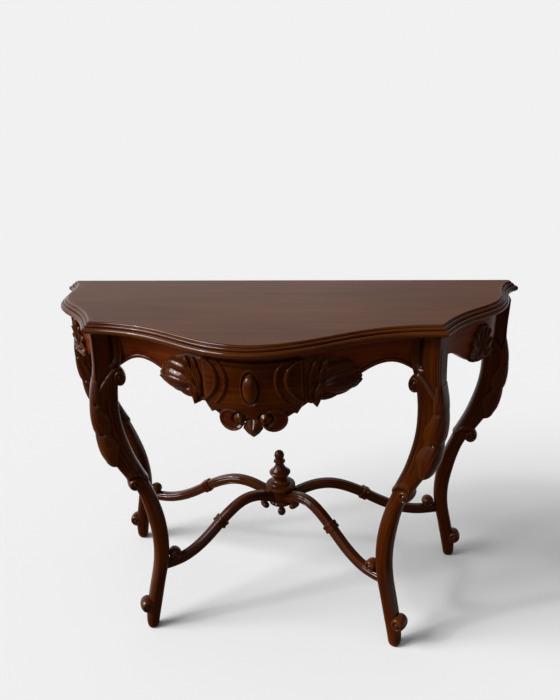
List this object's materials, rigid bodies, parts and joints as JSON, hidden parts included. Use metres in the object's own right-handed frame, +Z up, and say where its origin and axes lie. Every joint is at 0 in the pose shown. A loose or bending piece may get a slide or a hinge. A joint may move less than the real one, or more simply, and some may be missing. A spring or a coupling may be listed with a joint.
{
  "type": "pier table",
  "caption": "Serpentine carved pier table with a moulded top, arched aprons, S-scroll legs and a curved cross stretcher that rises to a turned finial.",
  "frame": {"origin": "on the floor, under the middle of the table's bounding box", "axes": "+X along the width, +Y to the wall behind the table, +Z up"},
  "size_m": [1.15, 0.53, 0.8],
  "materials": {
    "polished_walnut": "glossy French polish",
    "plain_walnut": "unpolished"
  },
  "bodies": {
    "root": {"top": "polished_walnut", "front_apron": "polished_walnut", "right_side_apron": "polished_walnut", "left_side_apron": "polished_walnut", "front_right_leg": "polished_walnut", "front_left_leg": "polished_walnut", "back_right_leg": "polished_walnut", "back_left_leg": "polished_walnut", "front_right_stretcher_arm": "polished_walnut", "front_left_stretcher_arm": "polished_walnut", "back_right_stretcher_arm": "polished_walnut", "back_left_stretcher_arm": "polished_walnut", "stretcher_hub": "polished_walnut", "finial": "polished_walnut", "hub_drop": "polished_walnut", "shield": "polished_walnut", "cabochon": "polished_walnut", "pendant_bud": "polished_walnut", "right_c_scroll": "polished_walnut", "left_c_scroll": "polished_walnut", "right_flower_spray": "polished_walnut", "left_flower_spray": "polished_walnut", "right_shell": "polished_walnut", "left_shell": "polished_walnut", "back_rail": "plain_walnut", "glue_blocks": "plain_walnut"}
  },
  "joints": []
}
